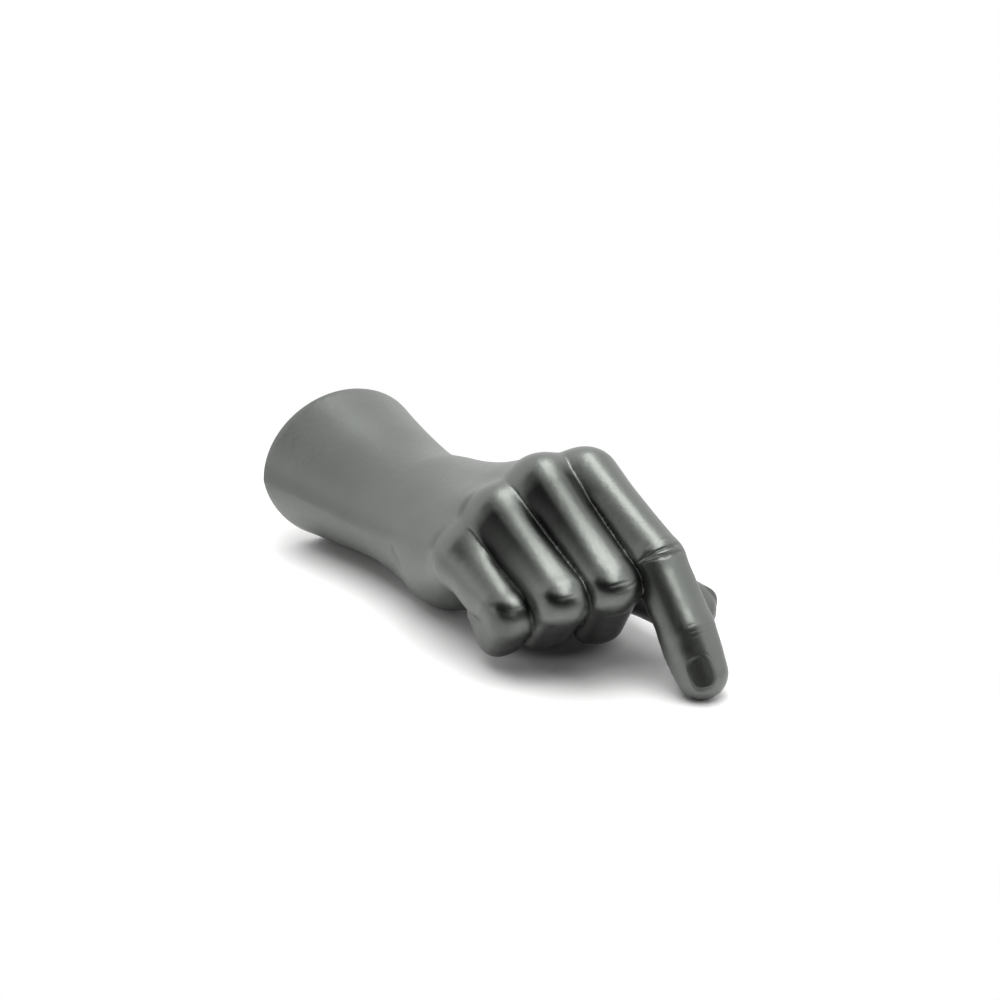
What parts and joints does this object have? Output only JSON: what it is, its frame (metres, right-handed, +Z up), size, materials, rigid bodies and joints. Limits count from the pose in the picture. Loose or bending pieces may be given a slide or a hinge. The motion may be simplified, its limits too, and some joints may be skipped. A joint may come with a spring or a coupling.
{
  "type": "hand sculpture",
  "caption": "Life-size hand ornament lying palm down, index finger pointing down to the table, other fingers curled, forearm cut flat and closed by a plug.",
  "frame": {"origin": "middle of the bounding box on the table plane", "axes": "+Z up, -Y the way the index finger points, +Y towards the cut end of the forearm, +X the thumb side"},
  "size_m": [0.0864, 0.2204, 0.074],
  "materials": {
    "graphite_lacquer": "satin graphite metallic lacquer on cast resin",
    "plug_resin": "matt dark grey cast resin",
    "ballast_plaster": "rough cast plaster",
    "rod_steel": "plain steel rod",
    "felt": "pressed felt"
  },
  "bodies": {
    "root": {"hand_casting": "graphite_lacquer", "wrist_plug": "plug_resin", "ballast_fill": "ballast_plaster", "finger_rod": "rod_steel", "forearm_pad": "felt", "heel_pad": "felt"}
  },
  "joints": []
}
